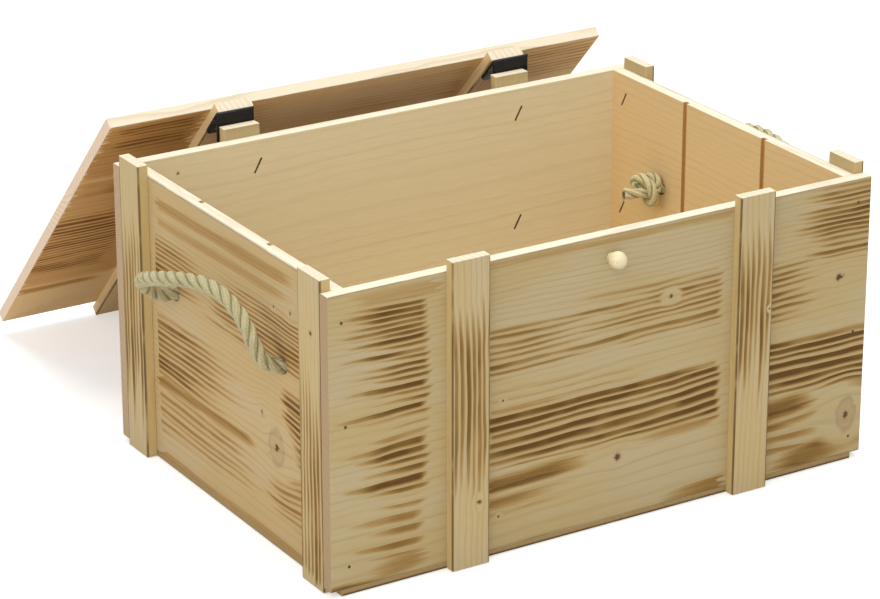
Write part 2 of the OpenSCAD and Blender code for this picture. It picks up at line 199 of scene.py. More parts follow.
def make_camera():
    """The photograph's viewpoint."""
    camera = bpy.data.objects.new("camera", bpy.data.cameras.new("camera"))
    bpy.context.scene.collection.objects.link(camera)
    turns = [Matrix.Rotation(math.radians(angle), 4, axis) for angle, axis in zip(CAMERA_TURNS, "ZXZ")]
    camera.matrix_world = Matrix.Translation(CAMERA_PLACE) @ (turns[0] @ turns[1] @ turns[2])
    camera.data.lens, camera.data.sensor_width = CAMERA_LENS, CAMERA_SENSOR
    camera.data.clip_start, camera.data.clip_end = CAMERA_CLIP
    bpy.context.scene.camera = camera


# ---------------------------------------------------------------- mesh helpers

def new_piece(name, parts, material, body, smooth=True):
    """A mesh piece from parts of (points in millimetres, quads, triangles, UV), that rides on a body."""
    counts = np.cumsum([0] + [len(p[0]) for p in parts])
    points = np.vstack([p[0] for p in parts]) / 1000
    quads = np.vstack([np.reshape(p[1], (-1, 4)) + c for p, c in zip(parts, counts)]).astype(int)
    triangles = np.vstack([np.reshape(p[2], (-1, 3)) + c for p, c in zip(parts, counts)]).astype(int)
    uv = np.vstack([p[3] for p in parts])
    mesh = bpy.data.meshes.new(name)
    mesh.from_pydata(points.tolist(), [], quads.tolist() + triangles.tolist())
    layer = mesh.uv_layers.new(name="along")
    corner = np.zeros(len(mesh.loops), np.int32)
    mesh.loops.foreach_get("vertex_index", corner)
    layer.data.foreach_set("uv", uv[corner].astype(np.float32).ravel())
    mesh.polygons.foreach_set("use_smooth", np.full(len(mesh.polygons), smooth))
    mesh.materials.append(material)
    mesh.update()
    piece = bpy.data.objects.new(name, mesh)
    bpy.context.scene.collection.objects.link(piece)
    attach(piece, body)
    return piece


def tube(rings, uv):
    """A closed tube through rings of points: quads between neighbouring rings, and a fan of triangles on each end."""
    rows, sides = rings.shape[:2]
    i, j = np.meshgrid(np.arange(rows - 1), np.arange(sides), indexing="ij")
    k = (j + 1) % sides
    quads = np.stack([i * sides + j, i * sides + k, (i + 1) * sides + k, (i + 1) * sides + j], -1).reshape(-1, 4)
    loop, last, tip = np.arange(sides), (rows - 1) * sides, np.full(sides, rows * sides)
    fans = [np.stack([np.roll(loop, -1), loop, tip], 1),
            np.stack([last + loop, last + np.roll(loop, -1), tip + 1], 1)]
    points = np.vstack([rings.reshape(-1, 3), rings[0].mean(0), rings[-1].mean(0)])
    uv = np.vstack([uv.reshape(-1, 2), uv[0].mean(0), uv[-1].mean(0)])
    return points, quads, np.vstack(fans), uv


# ---------------------------------------------------------------- rope

def smooth_path(points, step):
    """A path through the points at even steps: cubic pieces whose tangents are half the way between the neighbours."""
    points = np.asarray(points, float)
    before = np.vstack([2 * points[0] - points[1], points[:-1]])
    after = np.vstack([points[1:], 2 * points[-1] - points[-2]])
    tangent = (after - before) / 2
    t = np.linspace(0, 1, 40, endpoint=False)[None, :, None]
    a, b, ta, tb = points[:-1, None], points[1:, None], tangent[:-1, None], tangent[1:, None]
    dense = ((2 * t**3 - 3 * t**2 + 1) * a + (t**3 - 2 * t**2 + t) * ta
             + (-2 * t**3 + 3 * t**2) * b + (t**3 - t**2) * tb)
    dense = np.vstack([dense.reshape(-1, 3), points[-1]])
    length = np.concatenate([[0], np.cumsum(np.linalg.norm(np.diff(dense, axis=0), axis=1))])
    even = np.linspace(0, length[-1], int(length[-1] / step) + 1)
    return np.stack([np.interp(even, length, dense[:, k]) for k in range(3)], 1), even


def carried_axes(path):
    """Two axes square to the path. The first starts from a fixed direction, and the running sum of its own twist is
    taken off again, so the pair doesn't turn about the path."""
    tangent = np.gradient(path, axis=0)
    tangent /= np.linalg.norm(tangent, axis=1, keepdims=True)
    guide = np.array([0.35, 0.25, 0.9])
    first = guide - (tangent @ guide)[:, None] * tangent
    first /= np.linalg.norm(first, axis=1, keepdims=True)
    second = np.cross(tangent, first)
    twist = np.concatenate([[0], np.cumsum((np.diff(first, axis=0) * second[:-1]).sum(1))])[:, None]
    return np.cos(twist) * first - np.sin(twist) * second, np.sin(twist) * first + np.cos(twist) * second


def strand(path, along, axes, k, diameter, sides):
    """Strand k of three laid round a path. Its middle runs STRAND_OUT diameters from the path at the angle
    phi = 2 pi (s / LAY + k / 3). Round that middle its radius is STRAND_R diameters, times
    1 + YARN_RIDGE cos(YARNS (psi - phi) + 2 pi s / YARN_LAY + k) for the yarns."""
    first, second = axes
    phi = (2 * math.pi * (along / LAY + k / 3))[:, None]
    psi = np.linspace(0, 2 * math.pi, sides, endpoint=False)[None, :]
    lean = np.cos(phi)[..., None] * first[:, None] + np.sin(phi)[..., None] * second[:, None]
    middle = path[:, None] + (STRAND_OUT * diameter)[:, None, None] * lean
    ridge = 1 + YARN_RIDGE * np.cos(YARNS * (psi - phi) + 2 * math.pi * along[:, None] / YARN_LAY + k)
    radius = STRAND_R * ridge * (diameter * (1 + 0.03 * np.sin(along / 3.7 + 2 * k)))[:, None]
    outwards = np.cos(psi)[..., None] * first[:, None] + np.sin(psi)[..., None] * second[:, None]
    rings = middle + radius[..., None] * outwards
    uv = np.stack(np.broadcast_arrays(along[:, None] / 10 + k, (psi - phi) / (2 * math.pi)), -1)
    return tube(rings, uv)


def fuzz(path, along, axes, diameter, count, seed):
    """Loose fibres: flat hairs of four cross-pieces each, that leave the rope's surface at a slant and curl over.
    Point t along a hair lies at root + length (t lean + t^2 curl)."""
    rng = np.random.default_rng(seed)
    at = rng.integers(2, len(path) - 2, count)
    angle = rng.uniform(0, 2 * math.pi, count)
    out = np.cos(angle)[:, None] * axes[0][at] + np.sin(angle)[:, None] * axes[1][at]
    forward = np.gradient(path, axis=0)[at]
    forward /= np.linalg.norm(forward, axis=1, keepdims=True)
    side = np.cross(forward, out)
    lean = (out * rng.uniform(0.1, 0.7, (count, 1)) + forward * rng.normal(0, 0.8, (count, 1))
            + side * rng.normal(0, 0.7, (count, 1)))
    curl = (forward * rng.normal(0, 0.5, (count, 1)) + side * rng.normal(0, 0.5, (count, 1))
            - out * rng.uniform(0, 0.4, (count, 1)))
    length = rng.uniform(1.0, 3.4, (count, 1, 1))
    t = np.linspace(0, 1, 4)[None, :, None]
    root = path[at] + out * (diameter[at] * 0.44)[:, None]
    line = root[:, None] + length * (t * lean[:, None] + t**2 * curl[:, None])
    wide = side[:, None] * (HAIR_HALF_WIDTH * (1 - 0.8 * t))
    points = np.concatenate([line - wide, line + wide], 1).reshape(-1, 3)
    base = (np.arange(count) * 8)[:, None, None]
    step = np.arange(3)[None, :, None]
    quads = (base + step + np.array([0, 1, 5, 4])[None, None]).reshape(-1, 4)
    uv = np.stack([np.repeat(along[at] / 10, 8), np.zeros(count * 8)], -1)
    return points, quads, np.zeros((0, 3), int), uv


def rope_material(name, painted_light):
    """Hemp: cream crowns, darker olive where a strand turns to its neighbours and between its yarns, which is painted
    shade, speckled with fibres. The factors lighten every colour, painted light where they are above one.
    """
    g = Graph(name)
    plain, light, dull, dark = (
        lighter(shade(*colour), painted_light) for colour in (HEMP, HEMP_LIGHT, HEMP_DULL, HEMP_PAINTED_SHADE))
    along, round_ = g.parts(g.node("ShaderNodeUVMap", {"uv_map": "along"}))[:2]
    place = g.node("ShaderNodeTexCoord", {}, {}, 3)
    crown = g.math("COSINE", round_ * (2 * math.pi))
    yarn = g.math("SINE", (round_ * 7 + along * 1.25) * 2 * math.pi) * 0.5 + 0.5
    fibre = g.noise(g.vector(along * 10 + round_ * 5, round_ * 34, 0.0), (1.6, 0.7, 1), 3.0, 0.7)
    speck = g.noise(place, (0.0011, 0.0011, 0.0011), 2.0, 0.7, 3.0)
    patch = g.noise(place, (0.012, 0.012, 0.012), 2.0)
    colour = g.blend(g.ramp(fibre, 0.32, 0.66), dull, plain)
    colour = g.blend(g.ramp(speck, 0.5, 0.68, 0.0, 0.55), colour, light)
    colour = g.blend(g.ramp(patch, 0.35, 0.7, 0.0, 0.4), colour, dull)
    # Painted shade: darker in the grooves between the yarns and in the crevices where a strand turns to its neighbours
    colour = g.blend(g.ramp(yarn, 0.0, 0.3, 0.25, 0.0), colour, dark)
    colour = g.blend(g.ramp(crown + (fibre - 0.5) * 0.6, 0.5, -0.2), colour, dark)
    relief = yarn * 0.5 + fibre + speck * 0.6
    return g.finish(colour, 0.92, relief, 0.0006, 0.9, Sheen_Weight=0.2, Sheen_Roughness=0.6)


def lay_rope(name, path, along, diameter, sides, hairs, material, seed):
    """The three strands and the loose fibres of one length of rope, as two pieces."""
    axes = carried_axes(path)
    rope = new_piece(name, [strand(path, along, axes, k, diameter, sides) for k in range(3)], material, "case")
    down = new_piece(f"{name}_fuzz", [fuzz(path, along, axes, diameter, hairs, seed)], material, "case", False)
    return rope, down


def make_knot(name, side, end, material):
    """An overhand stopper knot inside the wall: the rope comes out of its hole, turns once round itself, passes back
    under its own turn and ends cut. The turn's middle runs round the hole's axis at 9.4 mm."""
    points = np.array(KNOT_ROUTE, float)
    turned = np.stack([side * (IN_X - points[:, 0]), end * (HOLE_Y + points[:, 1]), HOLE_Z + points[:, 2]], 1)
    path, along = smooth_path(turned, 0.8)
    diameter = np.interp(along, [0, 5, along[-1] - 8, along[-1]], [9.6, KNOT_ROPE_D, KNOT_ROPE_D, 9.0])
    rope, down = lay_rope(name, path, along, diameter, 16, KNOT_HAIRS, material, 11 + end)
    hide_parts(name)
    return [rope, down]


def make_rope(side, route, material):
    """A handle's rope along its route, with its loose fibres and its two knots."""
    name = "left" if side < 0 else "right"
    points = [(side * (END_X + out), across * HOLE_Y, HOLE_Z + up) for out, across, up in route]
    path, along = smooth_path(points, 0.7)
    rope, down = lay_rope(f"{name}_rope", path, along, np.full(len(path), ROPE_D), 24, ROPE_HAIRS, material, 5 + side)
    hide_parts(f"{name}_rope_handle")
    with_it = [down]
    for end, place in ((-1, "front"), (1, "rear")):
        with_it += make_knot(f"{name}_rope_{place}_knot", side, end, material)
    metres = (path[::3] / 1000).tolist()
    if (len(path) - 1) % 3:
        metres.append((path[-1] / 1000).tolist())


# ---------------------------------------------------------------- wood

def board_turn(grain, out, opened):
    """The board's own axes, along the grain, across it and out of its face, as they stand in the row frame."""
    grain, out = Vector(grain), Vector(out)
    turn = Matrix((grain, out.cross(grain), out)).transposed()
    return Matrix.Rotation(math.radians(-OPEN_ANGLE), 3, "X") @ turn if opened else turn


def board_place(g, middle, turn, opened):
    """The board's own coordinates in millimetres, from its middle."""
    fold = Vector((0, FOLD_Y, FOLD_Z))
    middle = Vector(middle)
    if opened:
        middle = fold + Matrix.Rotation(math.radians(-OPEN_ANGLE), 3, "X") @ (middle - fold)
    where = g.node("ShaderNodeTexCoord", {}, {}, 3)
    return g.node("ShaderNodeMapping", {"vector_type": "TEXTURE"}, {
        "Vector": where, "Location": middle / 1000, "Rotation": turn.to_euler("XYZ"), "Scale": (0.001, 0.001, 0.001)})


def scorched(g, u, v, loose, patches, level):
    """Where the flame has been: each patch is (from, to, fade in, fade out, low, high, strength, slant), along the
    grain and up from the floor. Its ends lie half a fade nearer or farther by the loose value. The strongest patch
    counts."""
    total = 0.0
    for start, end, fade_in, fade_out, low, high, strength, slant in patches:
        height = v - slant * (u - (start + end) / 2) + level if slant else v + level
        soft = min(6.0, (high - low) * 0.3)
        mask = (g.ramp(u + loose * (0.5 * fade_in), start, start + fade_in)
                * g.ramp(u + loose * (0.5 * fade_out), end, end - fade_out))
        mask = mask * g.ramp(height, low - soft, low + soft) * g.ramp(height, high + soft, high - soft) * strength
        total = g.math("MAXIMUM", total, mask)
    return total


def part_round_knots(g, place, u, v, across, knots, level, seed):
    """Each knot is (along, up, size, tallness, stain, heart). Round it the grain is pushed apart by 0.6 dv exp(-d^2),
    with d^2 = (du / 3.2 size)^2 + (dv / 2.2 size tallness)^2, and no flame marks show. In it lie a stain, a darker rim
    where it is large, and a ragged dark heart. Returns the pushed grain, the part that is clear of knots, the stain
    and the dark."""
    clear, stain, dark = 1.0, 0.0, 0.0
    for along, up, size, tall, strength, core in knots:
        bend = g.noise(place, (size * 0.9, size * 0.9, size * 3), 2.0, 0.6, seed + along) - 0.5
        ragged = g.noise(place, (size * 0.35, size * 0.25, size), 3.0, 0.75, seed + up) - 0.5
        du, dv = u - along, v + (level - up)
        near = du * du * (1 / (3.2 * size) ** 2) + dv * dv * (1 / (2.2 * size * tall) ** 2)
        pull = g.math("EXPONENT", near * -1)
        across = across - dv * pull * 0.6
        clear = clear * (1 - g.ramp(pull, 0.2, 0.65))
        du, dv = du + bend * size * 1.2, (dv + bend * size * 0.9) * (1 / tall)
        far = g.math("SQRT", du * du + dv * dv) * (1 / size)
        stain = g.math("MAXIMUM", stain, g.ramp(far, 1.3, 0.5) * strength)
        dark = g.math("MAXIMUM", dark, g.ramp(far + ragged * min(1.5, 4 / size), core, core * 0.4, 0.0, 0.92))
        if size > 5:
            dark = g.math("MAXIMUM", dark, g.ramp(far, 0.7, 0.95) * g.ramp(far, 1.3, 1.0) * (strength * 0.4))
    return across, clear, stain, dark


def growth_rings(g, across, w, pith, ring, fine, seed):
    """Ring number = r / ring + gain (r - from)^2 beyond the fine start, with r the distance from the pith line. Returns
    the place within the ring, from 0 at its outer side to 1 at its inner side, and the ring's whole number."""
    dv, dw = across - pith[0], w - pith[1]
    far = g.math("SQRT", dv * dv + dw * dw)
    uneven = (g.noise(g.vector(far, 0.0, 0.0), (17, 1, 1), 1.0, 0.5, seed + 3) - 0.5) * 1.3
    beyond = g.math("MAXIMUM", far - fine[0], 0.0)
    rings = far * (1 / ring) + beyond * beyond * fine[1] + uneven + 40.0
    return 1 - g.math("FRACT", rings), g.math("FLOOR", rings)


def board_grain(g, place, half, pith, ring, fine, sway, knots, level, seed):
    """What the looks of one board are worked out from: its coordinates u, v, w, the growth ring at each point, the
    knots, and noises drawn out along the grain."""
    u, v, w = g.parts(place)
    swayed = (v + (g.noise(place, (210, 80, 80), 1.0, 0.4, seed) - 0.5) * sway
              + (g.noise(place, (36, 15, 15), 1.0, 0.4, seed + 9) - 0.5) * 2.6)
    across, clear, stain, dark = part_round_knots(g, place, u, v, swayed, knots, level, seed)
    part, number = growth_rings(g, across, w, pith, ring, fine, seed)
    return SimpleNamespace(
        place=place, u=u, v=v, w=w, half=half, level=level, seed=seed, part=part, clear=clear, stain=stain, dark=dark,
        chance=g.node("ShaderNodeTexWhiteNoise", {"noise_dimensions": "1D"}, {"W": number + seed}),
        run=g.noise(g.vector(u, number * 31.0, 0.0), (40, 1, 1), 2.0, 0.5, seed + 5),
        late=g.ramp(part, 0.64, 0.92) * g.ramp(part, 1.0, 0.97),
        fibre=g.noise(place, (20, 0.5, 0.5), 3.0, 0.65, seed + 21),
        streak=g.noise(place, (70, 2.4, 2.4), 2.0, 0.6, seed + 27),
        cloud=g.noise(place, (55, 12, 12), 2.0, 0.5, seed + 33),
        face=g.ramp(w, half[2] - 0.7, half[2] - 0.1))


def flame_marks(g, wood, patches, glows):
    """How burnt the outer face is. In the patches each growth ring is dark from its outer side inwards, the farther the
    hotter it was; in the glows the wood is browned alone. Also returns the stripe of each ring and the heat."""
    loose, jagged = wood.chance + wood.run - 1.0, wood.v + (wood.streak - 0.5) * 6
    heat = scorched(g, wood.u, jagged, loose, patches, wood.level) * g.ramp(wood.cloud, 0.25, 0.6, 0.75, 1.1)
    glow = (scorched(g, wood.u + (wood.streak - 0.5) * 30, jagged, 0.0, glows, wood.level)
            * g.ramp(wood.fibre, 0.2, 0.7, 0.45, 0.6))
    reach = wood.chance * 0.3 + g.math("MINIMUM", heat, 1.0) * 0.4
    stripe = g.ramp(wood.part, 0.0, 0.07) * g.ramp(wood.part, reach + 0.3, reach - 0.15)
    line = stripe * (wood.chance * 0.3 + 0.7) * g.ramp(wood.run, 0.3, 0.6, 0.7, 1.1)
    burnt = wood.face * wood.clear * g.math("MAXIMUM", heat * (line * 0.78 + 0.12), glow * (stripe * 0.25 + 0.85))
    return burnt, stripe, heat


def bare_wood(g, wood, tone, inside, lift):
    """The wood before the flame: two tones that drift into each other, tan fibres, a plain inner face, and tan late
    wood at each ring's end."""
    tint = g.noise(wood.place, (90, 26, 26), 2.0, 0.5, wood.seed + 51)
    tan, fibre = lighter(TAN, lift), wood.fibre
    colour = g.blend(g.ramp(tint, 0.35, 0.65), g.blend(0.5, tone, lighter(GREYISH, lift)),
                     g.blend(0.4, tone, lighter(YELLOWISH, lift)))
    colour = g.blend(g.ramp(fibre, 0.3, 0.72, 0.0, 0.22), colour, tan)
    colour = g.blend(wood.face, g.blend(g.ramp(fibre, 0.3, 0.7, 0.0, 0.12), inside, TAN), colour)
    return g.blend(wood.late * (wood.chance * 0.3 + 0.12) * g.ramp(wood.face, 0.0, 1.0, 0.35, 1.0), colour, tan)


def cut_edges(g, wood, colour, edges, ends, char, deep, grooved):
    """Over the colour: browned grooves inside, sawn edges, end grain, and arrises that the flame has charred."""
    seed, fibre, w = wood.seed, wood.fibre, wood.w
    a, b, c = wood.half
    du, dv = a - abs(wood.u), b - abs(wood.v)
    side, tip = g.ramp(dv, 0.45, 0.15), g.ramp(du, 0.45, 0.15)
    if grooved:
        groove = g.ramp(w, 0.1 - c, 0.6 - c) * g.ramp(w, 3.4 - c, 3.0 - c) * (1 - side)
        colour = g.blend(groove * g.ramp(fibre, 0.2, 0.6, 0.4, 0.8), colour, GROOVE)
    colour = g.blend(side, colour, g.blend(wood.late * 0.2, edges, TAN))
    grit = g.noise(wood.place, (1.0, 0.8, 0.8), 2.0, 0.6, seed + 57)
    cut = g.blend(g.ramp(grit, 0.5, 0.72, 0.0, 0.3), g.blend(g.ramp(wood.part, 0.4, 0.95, 0.0, 0.2), ends, TAN), TAN)
    colour = g.blend(tip, colour, cut)
    rim = g.noise(wood.place, (34, 34, 34), 2.0, 0.6, seed + 41)
    charred = wood.face * g.ramp(dv, 1.2, 0.2)
    if deep:
        charred = g.math("MAXIMUM", charred, side * g.ramp(c - w, 1.9, 0.7) * deep)
    return g.blend(charred * g.ramp(du, 0.2, 1.2) * g.ramp(rim, 0.28, 0.5, 0.35, 1.0) * char, colour, CHAR)


def flamed_wood(name, middle, half, grain, out, pith, seed, patches=(), glows=(), knots=(), ring=6.2,
                fine=(60, 0.0004), level=0.0, tone=PALE, inside=INSIDE, edges=SAWN, ends=END_GRAIN, char=0.5, deep=0.0,
                sway=14.0, foot=0.0, lift=(1.0, 1.0, 1.0), grooved=False, opened=False):
    """Softwood, torched and brushed: the bare wood, the flame's marks in browns that deepen with the heat, the knots,
    a charred foot, and the cut edges."""
    g = Graph(name)
    place = board_place(g, middle, board_turn(grain, out, opened), opened)
    wood = board_grain(g, place, half, pith, ring, fine, sway, knots, level, seed)
    burnt, stripe, heat = flame_marks(g, wood, patches, glows)
    colour = bare_wood(g, wood, tone, inside, lift)
    # lift multiplies the colours: a tint on the left end board, painted light on the lid
    stops = [(stop, lighter(shade(*brown), lift)) for stop, brown in HEATED]
    browned = g.node("ShaderNodeValToRGB", {"stops": stops}, {0: burnt + (wood.streak - 0.5) * 0.12})
    colour = g.blend(g.ramp(burnt, 0.02, 0.3), colour, browned)
    if knots:
        colour = g.blend(wood.stain * 0.7, colour, KNOT)
        colour = g.blend(wood.dark, colour, PITCH)
    if foot:
        soot = wood.face * g.ramp(wood.v + wood.cloud * 8, foot - half[1], -half[1] + 1.0, 0.0, 0.75)
        colour = g.blend(soot, colour, CHAR)
    colour = cut_edges(g, wood, colour, edges, ends, char, deep, grooved)
    height = wood.fibre * 0.6 + wood.late * 0.3 - wood.face * stripe * heat * 0.15
    return g.finish(colour, g.ramp(wood.fibre, 0.2, 0.8, 0.7, 0.58), height, 0.0002, 0.6, Specular_IOR_Level=0.15)


# Flame marks and knots of the boards. Patches and glows are (from, to, fade in, fade out, low, high, strength,
# slant), knots are (along, up, size, tallness, stain, heart)
FRONT_PATCHES = [
    (-202, -130, 40, 9, 58, 192, 0.6, 0), (-202, -130, 50, 9, 110, 188, 1.05, 0),
    (-202, -131, 46, 10, 60, 100, 1.15, 0), (-198, -132, 45, 14, 16, 56, 0.75, 0),
    (-94, 8, 4, 80, 120, 154, 0.85, 0.02), (-70, 90, 90, 8, 122, 160, 0.8, 0),
    (-94, 90, 6, 8, 57, 97, 1.2, -0.03), (-94, 60, 6, 90, 97, 112, 0.5, 0), (140, 206, 40, 1, 146, 199, 0.9, 0),
    (120, 174, 4, 44, 112, 154, 0.95, 0.05), (120, 206, 4, 1, 58, 97, 1.25, -0.04),
    (120, 190, 4, 40, 14, 50, 0.6, 0), (-94, 0, 4, 60, 22, 44, 0.4, 0.02)]
FRONT_GLOWS = [
    (-94, -4, 6, 40, 44, 54, 1.5, 0.03), (8, 88, 40, 12, 51, 57, 0.8, 0.03),
    (-94, -20, 6, 60, 32, 40, 1.1, 0.02), (-94, -60, 6, 40, 24, 29, 0.7, 0), (28, 92, 50, 4, 3, 12, 1.2, 0.05),
    (120, 172, 3, 28, 44, 57, 1.6, 0.05), (120, 164, 3, 38, 34, 40, 1.3, 0), (120, 158, 3, 35, 25, 30, 0.9, 0),
    (120, 158, 3, 35, 17, 21, 0.8, 0), (122, 206, 30, 1, 4, 20, 1.4, 0.16),
    (-190, -126, 40, 20, 6, 17, 1.0, 0.1), (184, 206, 12, 1, 50, 60, 1.2, -0.1),
    (-94, 94, 2, 2, 194, 199, 0.6, 0), (-196, -126, 20, 2, 186, 198, 0.6, 0), (-206, -140, 1, 60, 1, 7, 1.4, 0)]
FRONT_KNOTS = [
    (46.6, 148.6, 2.8, 1.0, 0.2, 0.6), (7.3, 45.7, 3.4, 1.2, 0.45, 0.8), (182, 134, 4.0, 0.8, 0.25, 0.95),
    (192, 33, 7.5, 1.5, 0.5, 0.3), (-80, 105, 1.1, 1.3, 0.2, 0.9), (-83, 26, 1.1, 1.3, 0.2, 0.9)]
LEFT_PATCHES = [
    (-100, -16, 2, 66, 130, 162, 1.0, 0.02), (-50, 102, 66, 3, 126, 164, 0.85, 0),
    (-100, 36, 2, 96, 64, 108, 0.95, 0.03), (-100, 62, 3, 70, 24, 56, 0.6, 0.03),
    (66, 102, 14, 2, 66, 114, 1.0, 0), (40, 102, 30, 3, 24, 60, 0.65, -0.1)]
LEFT_GLOWS = [
    (-98, 98, 4, 30, 183, 191, 0.75, 0.02), (-98, 98, 4, 40, 171, 178, 0.6, 0.02),
    (-100, 44, 3, 24, 57, 64, 1.1, 0.02), (-100, 100, 3, 3, 3, 8, 0.7, 0), (30, 98, 40, 2, 20, 56, 0.25, -0.1)]
LEFT_KNOTS = [
    (62, 70, 9.5, 1.2, 0.4, 0.3), (44, 88, 2.6, 1.6, 0.2, 0.5), (61.7, 165.5, 1.1, 1.3, 0.2, 0.9),
    (82.9, 168.3, 1.8, 1.3, 0.4, 0.7)]
# Painted light: the marks over the lid's middle, between its battens, are kept weak (0.15 to 0.4) to make up for the
# shade the box casts there
LID_PATCHES = [
    (-197, -124, 20, 8, 100, 138, 1.0, 0), (-197, -150, 10, 20, 36, 60, 0.9, -0.2),
    (-197, -122, 3, 6, -38, 14, 1.1, 0), (-197, -124, 3, 20, -74, -32, 1.0, -0.1),
    (-92, -30, 5, 60, 60, 136, 0.4, 0), (-40, 94, 60, 6, 92, 138, 0.3, 0), (60, 94, 30, 2, 60, 141, 0.4, 0),
    (-92, 92, 20, 10, -90, 10, 0.8, 0), (126, 197, 4, 4, 96, 141, 0.6, 0), (126, 197, 4, 4, -70, 20, 0.8, 0)]
LID_GLOWS = [
    (-197, -121, 2, 2, 66, 141, 0.9, 0), (-197, -121, 2, 30, -100, -92, 1.2, 0),
    (-197, -121, 2, 2, -90, 66, 0.7, 0), (-92, 94, 2, 2, 40, 141, 0.15, 0)]
# Battens of the case: name, middle, outward direction, (from, to, fade in, fade out) of the flame, knots, seed
BATTENS = [
    ("front_left_batten", (-108, -145.75, 104), (0, -1, 0), (-74, 92, 60, 50),
     [(-60.1, -6.1, 2.2, 1.2, 0.5, 0.8)], 31.0),
    ("front_right_batten", (108, -145.75, 104), (0, -1, 0), (-60, 100, 80, 60),
     [(23.2, -11.6, 1.0, 1.2, 0.3, 0.9)], 37.0),
    ("back_left_batten", (-108, 145.75, 104), (0, 1, 0), (-60, 60, 40, 40),
     [], 43.0),
    ("back_right_batten", (108, 145.75, 104), (0, 1, 0), (-60, 60, 40, 40),
     [], 49.0),
    ("left_front_corner_batten", (-201.25, -119.5, 104), (-1, 0, 0), (-104, 70, 10, 90),
     [(66, -1.6, 2.4, 1.2, 0.5, 0.7)], 55.0),
    ("left_rear_corner_batten", (-201.25, 119.5, 104), (-1, 0, 0), (-90, 84, 60, 60),
     [], 61.0),
    ("right_front_corner_batten", (201.25, -119.5, 104), (1, 0, 0), (-60, 60, 40, 40),
     [], 67.0),
    ("right_rear_corner_batten", (201.25, 119.5, 104), (1, 0, 0), (-60, 60, 40, 40),
     [], 73.0)]


def make_walls():
    """Materials of the case's boards."""
    long_half, end_half, up = (205, 98, 4.5), (133, 98, 4.5), WALL_MIDDLE
    worn = shade(168, 140, 94)
    return {
        "front_board": flamed_wood(
            "front_board_wood", (0, -137.5, up), long_half, (1, 0, 0), (0, -1, 0), (-106, -30), 1.0, FRONT_PATCHES,
            FRONT_GLOWS, FRONT_KNOTS, level=up, foot=6, ends=shade(172, 146, 112)),
        "back_board": flamed_wood(
            "back_board_wood", (0, 137.5, up), long_half, (-1, 0, 0), (0, 1, 0), (40, -30), 7.0,
            [(-205, 205, 2, 2, 60, 120, 0.8, 0.04), (-205, 205, 2, 2, 140, 170, 0.7, 0)],
            knots=[(161.8, 187.2, 1.6, 1.0, 0.3, 0.9)], level=up, foot=6, ends=shade(184, 158, 126)),
        "left_end_board": flamed_wood(
            "left_end_wood", (-193, 0, up), end_half, (0, -1, 0), (-1, 0, 0), (-150, -40), 13.0, LEFT_PATCHES,
            LEFT_GLOWS, LEFT_KNOTS, level=up, foot=4, tone=WARM, ring=5.6, sway=9.0, deep=0.8, grooved=True,
            lift=(1.05, 0.97, 0.9)),
        "right_end_board": flamed_wood(
            "right_end_wood", (193, 0, up), end_half, (0, 1, 0), (1, 0, 0), (-50, -20), 19.0,
            [(-105, 105, 4, 4, 50, 100, 0.9, 0.03), (-105, 60, 4, 50, 130, 160, 0.7, 0)],
            knots=[(-30, 80, 5, 1.2, 0.4, 0.4)], level=up, foot=4, inside=shade(228, 198, 148), deep=0.8, grooved=True),
        # On the bottom panel, char and deep darken the lowest 0.7 to 1.9 mm of its long edges towards CHAR: a thin dark
        # line along the floor
        "bottom_panel": flamed_wood(
            "bottom_wood", (0, 0, 2), (197.5, 142, 2), (1, 0, 0), (0, 0, -1), (30, -60), 23.0, edges=worn, ends=worn,
            char=0.95, deep=1.0),
    }


def make_battens():
    """Materials of the case's battens: quarter-sawn strips with upright lines, burnt along the middle."""
    boards = {}
    for name, middle, out, patch, knots, seed in BATTENS:
        boards[name] = flamed_wood(
            f"{name}_wood", middle, (TIP_Z / 2, BATTEN_W / 2, BATTEN_T / 2), (0, 0, 1), out, (-60, -15), seed,
            [(*patch, -15, 15, 0.85, 0.0)], knots=knots, ring=4.2, char=0.95, deep=0.8, sway=6.0, inside=PALE,
            tone=shade(204, 182, 138), edges=shade(198, 174, 120))
    return boards


def make_lid_wood():
    """Materials of the lid, drawn closed and then turned with it. Their tone and lift make them lighter than the case's
    wood: painted light for the shade on the open lid's outer face.
    """
    # Painted light: this lid tone and the lifts below are lighter than the case's wood, to make up for the shade on the
    # lid
    warm = shade(236, 205, 156)
    boards = {"lid_board": flamed_wood(
        "lid_board_wood", (0, 0, LID_Z + LID_T / 2), (LID_HALF_L, LID_HALF_D, LID_T / 2), (1, 0, 0), (0, 0, 1),
        (52, -30), 81.0, LID_PATCHES, LID_GLOWS, tone=warm, opened=True, ring=4.0, fine=(90, 0.001),
        lift=(1.5, 1.25, 1.1), edges=shade(232, 218, 192), ends=shade(232, 208, 182))}
    for name, x, seed in (("lid_left_batten", -107.0, 87.0), ("lid_right_batten", 110.5, 93.0)):
        boards[name] = flamed_wood(
            f"{name}_wood", (x, 0, LID_Z + LID_T + BATTEN_T / 2), (LID_BATTEN_HALF, BATTEN_W / 2, BATTEN_T / 2),
            (0, 1, 0), (0, 0, 1), (-60, -15), seed, [(-120, 110, 40, 40, -15, 15, 0.7, 0)], ring=4.2, tone=warm,
            edges=shade(226, 196, 146), inside=PALE, opened=True, lift=(1.45, 1.25, 1.12), char=0.9, deep=0.8, sway=6.0)
    return boards


